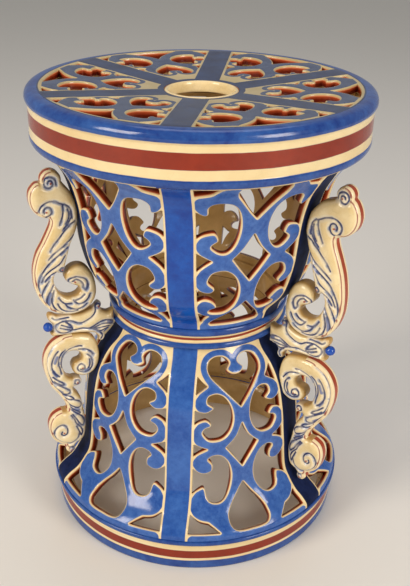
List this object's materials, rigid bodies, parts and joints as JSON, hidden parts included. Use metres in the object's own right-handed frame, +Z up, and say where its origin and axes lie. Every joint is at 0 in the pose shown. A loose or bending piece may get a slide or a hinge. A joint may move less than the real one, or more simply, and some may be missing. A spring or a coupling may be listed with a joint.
{
  "type": "plant stand",
  "caption": "Waisted openwork glazed pottery stand for a potted plant, with a pierced top, central hand hole and scroll brackets.",
  "frame": {"origin": "on the floor under the middle of the stand", "axes": "+Z up along the stand's round axis, -Y towards the front upright bar; the scroll brackets stand at -30, 90 and 210 degrees from +X"},
  "size_m": [0.351, 0.3595, 0.485],
  "materials": {
    "cobalt_glaze": "glossy cobalt blue glaze over pale earthenware",
    "cream_glaze": "glossy cream glaze",
    "ivory_glaze": "glossy ivory glaze with painted lines",
    "striped_glaze": "glossy glaze painted in cobalt, cream and iron red bands"
  },
  "bodies": {
    "root": {"foot_ring": "striped_glaze", "waist_ring": "striped_glaze", "rim_band": "striped_glaze", "top_plate": "cobalt_glaze", "hand_hole_collar": "cream_glaze", "lower_segment_1": "cobalt_glaze", "lower_segment_2": "cobalt_glaze", "lower_segment_3": "cobalt_glaze", "lower_segment_4": "cobalt_glaze", "lower_segment_5": "cobalt_glaze", "lower_segment_6": "cobalt_glaze", "upper_segment_1": "cobalt_glaze", "upper_segment_2": "cobalt_glaze", "upper_segment_3": "cobalt_glaze", "upper_segment_4": "cobalt_glaze", "upper_segment_5": "cobalt_glaze", "upper_segment_6": "cobalt_glaze", "ball_1": "cobalt_glaze", "ball_2": "cobalt_glaze", "ball_3": "cobalt_glaze", "upper_scroll_1": "ivory_glaze", "upper_scroll_2": "ivory_glaze", "upper_scroll_3": "ivory_glaze", "lower_scroll_1": "ivory_glaze", "lower_scroll_2": "ivory_glaze", "lower_scroll_3": "ivory_glaze", "leaf_1": "ivory_glaze", "leaf_2": "ivory_glaze", "leaf_3": "ivory_glaze"}
  },
  "joints": []
}
